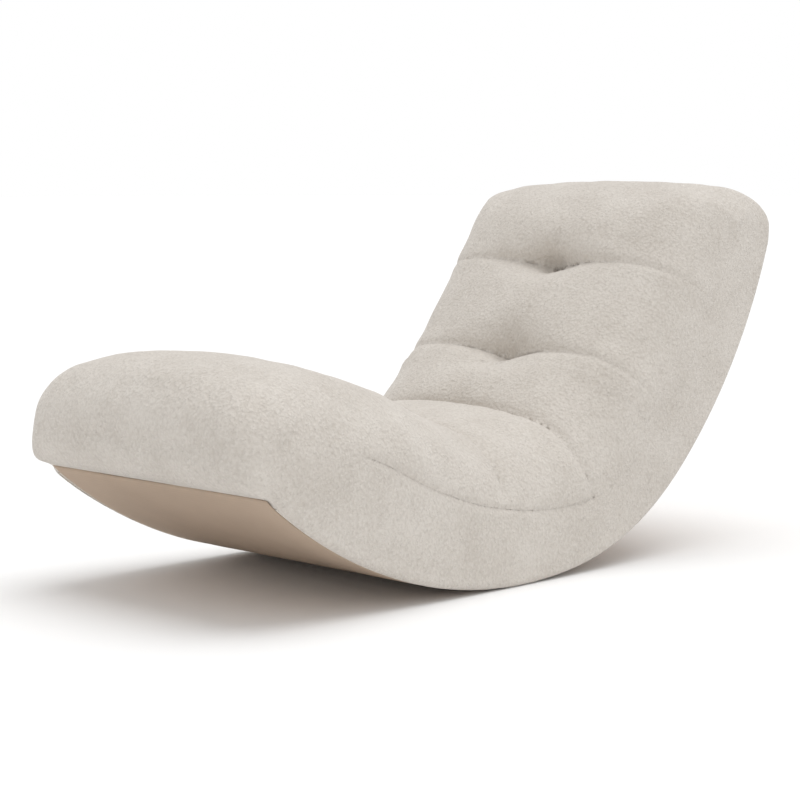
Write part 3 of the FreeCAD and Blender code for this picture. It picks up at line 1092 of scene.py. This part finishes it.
    def build(self, cloth: bpy.types.Material) -> None:
        """Builds and dresses every cover, attaches it to the root body and hides the nodes that it stands
        for.

        Args:
            cloth: the boucle.
        """
        form = self.blank()
        log.info("upholstery form: %d vertices", len(form.data.vertices))
        self.swell(form)
        self.skin_over(form, self.fine_voxel)
        self.relax(form)
        self.draw_lines(form)
        self.mark(form)
        self.sew(form)
        self.part(form)
        for region, cover in self.pieces.items():
            cover.data.materials.append(cloth)
            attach(cover, "root")
            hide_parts(*self.stands_for(region))
            log.info("%s: %d faces", cover.name, len(cover.data.polygons))


@dataclass
class Underside:
    """The cloth under the rocker and the welts along both of its edges."""

    profile: RockerProfile
    half: float = 0.3354
    thick: float = 0.002
    steps_along: int = 180
    steps_across: int = 60
    sag: Ripple = Ripple(0.0006, 0.2, 71)
    degrees_per_metre: float = 60.0
    toe_lift: float = 0.0022
    off_toe: Fade = Fade(0.0, 1.1)
    welt_radius: float = 0.0045
    welt_out: float = 0.3402
    welt_lift: float = 0.0008
    welt_sides: int = 14
    welt_cuts: int = 420
    crisp_angle: float = 60.0

    def cloth(self, finish: bpy.types.Material) -> bpy.types.Object:
        """Builds the stretched cloth.

        Args:
            finish: its material.

        Returns:
            The cloth.
        """
        profile = self.profile
        bpy.ops.object.select_all(action="DESELECT")
        steps = {"x_subdivisions": self.steps_along, "y_subdivisions": self.steps_across}
        bpy.ops.mesh.primitive_grid_add(size=2.0, **steps)
        sheet = bpy.context.active_object
        sheet.name = "underside_panel"
        points = read_points(sheet.data)
        past_toe = (profile.head_heading - profile.toe_heading) * (points[:, 0] + 1.0) / 2.0
        heading = profile.toe_heading + past_toe
        across = points[:, 1] * self.half
        flat = np.stack([heading / self.degrees_per_metre, across, heading * 0.0], axis=1)
        lift = np.maximum(self.sag.height + self.sag.at(flat), 0.0)
        lift += self.toe_lift * (1.0 - self.off_toe.of(past_toe))
        place = profile.at(heading, 0.0) + profile.way_in(heading) * lift[:, None]
        place[:, 1] = across
        place[:, 2] = np.maximum(place[:, 2], 0.0)
        write_points(sheet.data, place)
        edit(sheet, Pick.ALL, bpy.ops.mesh.flip_normals)
        bpy.ops.object.shade_smooth()
        thicken(sheet, self.thick)
        sheet.data.materials.append(finish)
        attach(sheet, "root")
        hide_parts("underside_cloth")
        profile.length()
        return sheet

    def welt(self, side: float, name: str, finish: bpy.types.Material) -> bpy.types.Object:
        """Builds the rolled welt of one edge.

        Args:
            side: -1 for the near edge, 1 for the far one.
            name: the node that it stands for.
            finish: its material.

        Returns:
            The welt.
        """
        bpy.ops.object.select_all(action="DESELECT")
        bpy.ops.mesh.primitive_cylinder_add(vertices=self.welt_sides, radius=1.0, depth=2.0)
        welt = bpy.context.active_object
        welt.name = name + "_roll"
        edit(welt, Pick.NONE)
        for edge in welt.data.edges:
            low, high = (welt.data.vertices[index].co.z for index in edge.vertices)
            edge.select = abs(low - high) > 1.0
        edit(welt, Pick.KEPT, bpy.ops.mesh.subdivide, number_cuts=self.welt_cuts)
        points = read_points(welt.data)
        first = math.degrees(math.asin(self.profile.toe_plane / self.profile.belly_radius))
        heading = first + (self.profile.head_heading - first) * (points[:, 2] + 1.0) / 2.0
        middle = self.profile.at(heading, self.welt_radius + self.welt_lift)
        place = middle + self.profile.way_in(heading) * points[:, 1][:, None] * self.welt_radius
        place[:, 1] = side * (self.welt_out + points[:, 0] * self.welt_radius)
        write_points(welt.data, place)
        edit(welt, Pick.ALL, bpy.ops.mesh.normals_make_consistent, inside=False)
        bpy.ops.object.shade_smooth_by_angle(angle=math.radians(self.crisp_angle))
        welt.data.materials.append(finish)
        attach(welt, "root")
        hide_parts(name)
        return welt

    def build(self, cloth: bpy.types.Material, edge: bpy.types.Material) -> None:
        """Builds the panel and both welts.

        Args:
            cloth: the panel's material.
            edge: the welts' material.
        """
        log.info("%s built", self.cloth(cloth).name)
        for side, name in ((-1.0, "near_welt"), (1.0, "far_welt")):
            log.info("%s built", self.welt(side, name, edge).name)


@dataclass
class InnerFrame:
    """The frame, webbing and cores inside, which keep their CAD forms."""

    paint: Paint

    def finishes(self) -> dict:
        """Makes the inner finishes.

        Returns:
            The material of each inner node.
        """
        paint = self.paint
        plywood = paint.wood("Plywood", Wood((0.74, 0.58, 0.40), (0.60, 0.44, 0.28), (1.0, 9.0, 9.0)))
        timber = paint.wood("Timber", Wood((0.72, 0.53, 0.33), (0.55, 0.38, 0.21), (9.0, 1.0, 9.0)))
        steel = paint.plain("Zinc-plated steel", Plain((0.56, 0.57, 0.58), 0.38, 1.0))
        webbing = paint.cloth("Elastic webbing", PlainCloth((0.24, 0.22, 0.20), (0.15, 0.14, 0.13), 0.002))
        deck = paint.cloth("Spun-bonded cloth", PlainCloth((0.86, 0.85, 0.82), (0.78, 0.77, 0.74)))
        twine = paint.plain("Waxed twine", Plain((0.80, 0.76, 0.69), 0.7))
        foam = paint.plain("Firm foam", Plain((0.86, 0.83, 0.70), 0.9))
        found = {"corner_blocks": timber, "deck_cloth": deck, "tuft_ties": twine}
        found.update({name: plywood for name in BOARDS})
        found.update({rail + "_rail": timber for rail in RAILS})
        found.update({name: steel for name in ("balance_bars", "frame_screws", "tuft_anchors")})
        found.update({region.value + "_webbing": webbing for region in CUSHIONS})
        found.update({region.value + "_core": foam for region in CUSHIONS})
        return found

    def build(self) -> None:
        """Gives every inner node its finish."""
        finishes = self.finishes()
        for name, finish in finishes.items():
            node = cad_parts[name]
            node.data.materials.clear()
            node.data.materials.append(finish)
        log.info("inner frame: %d nodes dressed", len(finishes))


@dataclass
class Studio:
    """Floor, lights and the camera of the photograph."""

    camera_at: tuple = (-3.0676, -3.0819, 0.8171)
    azimuth: float = -44.801
    elevation: float = 5.974
    lens: float = 90.0
    sensor: float = 36.0
    floor_size: float = 400.0
    floor_colour: tuple = (0.95, 0.95, 0.95, 1.0)
    floor_roughness: float = 0.9
    sky_strength: float = 0.69
    sun_strength: float = 1.4
    sun_angle: float = 50.0
    sun_at: tuple = (0.0, 0.0, 3.0)
    sun_way: tuple = (-0.15, 0.10, -1.0)

    def floor(self) -> None:
        """Lays a pale floor that takes the chair's shadow."""
        bpy.ops.object.select_all(action="DESELECT")
        bpy.ops.mesh.primitive_plane_add(size=self.floor_size, location=(0.0, 0.0, 0.0))
        floor = bpy.context.active_object
        floor.name = "studio_floor"
        material, shader = Paint.blank("Studio floor", self.floor_roughness)
        shader.inputs["Base Color"].default_value = self.floor_colour
        shader.inputs["Specular IOR Level"].default_value = 0.0
        floor.data.materials.append(material)

    def sun(self) -> None:
        """Hangs a broad soft light overhead, a little towards the head and the near side."""
        data = bpy.data.lights.new("Soft sun", "SUN")
        data.energy = self.sun_strength
        data.angle = math.radians(self.sun_angle)
        sun = bpy.data.objects.new("Soft sun", data)
        bpy.context.scene.collection.objects.link(sun)
        sun.location = self.sun_at
        sun.rotation_mode = "QUATERNION"
        sun.rotation_quaternion = Vector(self.sun_way).to_track_quat("-Z", "Y")

    def sky(self) -> None:
        """Sets an even pale surrounding that is white to the camera and to gloss."""
        world = bpy.data.worlds.new("Studio")
        bpy.context.scene.world = world
        world.use_nodes = True
        tree = world.node_tree
        light = tree.nodes["Background"]
        light.inputs["Color"].default_value = WHITE
        light.inputs["Strength"].default_value = self.sky_strength
        white = add_node(tree, "ShaderNodeBackground", {"Color": WHITE, "Strength": 1.0})
        rays = add_node(tree, "ShaderNodeLightPath").outputs
        seen = add_math(tree, "MAXIMUM", rays["Is Camera Ray"], rays["Is Glossy Ray"])
        sources = {"Fac": seen, 1: light.outputs["Background"], 2: white.outputs["Background"]}
        mix = add_node(tree, "ShaderNodeMixShader", sources)
        tree.links.new(mix.outputs["Shader"], tree.nodes["World Output"].inputs["Surface"])

    def camera(self) -> None:
        """Sets up the photograph's camera."""
        data = bpy.data.cameras.new("Photograph camera")
        data.lens = self.lens
        data.sensor_width = self.sensor
        camera = bpy.data.objects.new("Photograph camera", data)
        bpy.context.scene.collection.objects.link(camera)
        turn, lift = math.radians(self.azimuth), math.radians(self.elevation)
        back = Vector((math.sin(turn) * math.cos(lift), -math.cos(turn) * math.cos(lift), math.sin(lift)))
        camera.location = self.camera_at
        camera.rotation_mode = "QUATERNION"
        camera.rotation_quaternion = (-back).to_track_quat("-Z", "Y")
        bpy.context.scene.camera = camera

    def build(self) -> None:
        """Builds the studio."""
        self.floor()
        self.sun()
        self.sky()
        self.camera()
        bpy.context.scene.view_settings.view_transform = "Standard"


def main() -> None:
    """Builds the chair and its studio."""
    logging.basicConfig(level=logging.INFO)
    paint = Paint()
    profile = RockerProfile()
    boucle = paint.boucle("Teddy boucle", Boucle())
    underside = paint.cloth("Underside cloth", PlainCloth((0.494, 0.381, 0.289), (0.406, 0.309, 0.232)))
    welt = paint.cloth("Welt cloth", PlainCloth((0.72, 0.67, 0.60), (0.62, 0.57, 0.50)))
    Upholstery(profile).build(boucle)
    Underside(profile).build(underside, welt)
    InnerFrame(paint).build()
    Studio().build()


if __name__ == "__main__":
    main()
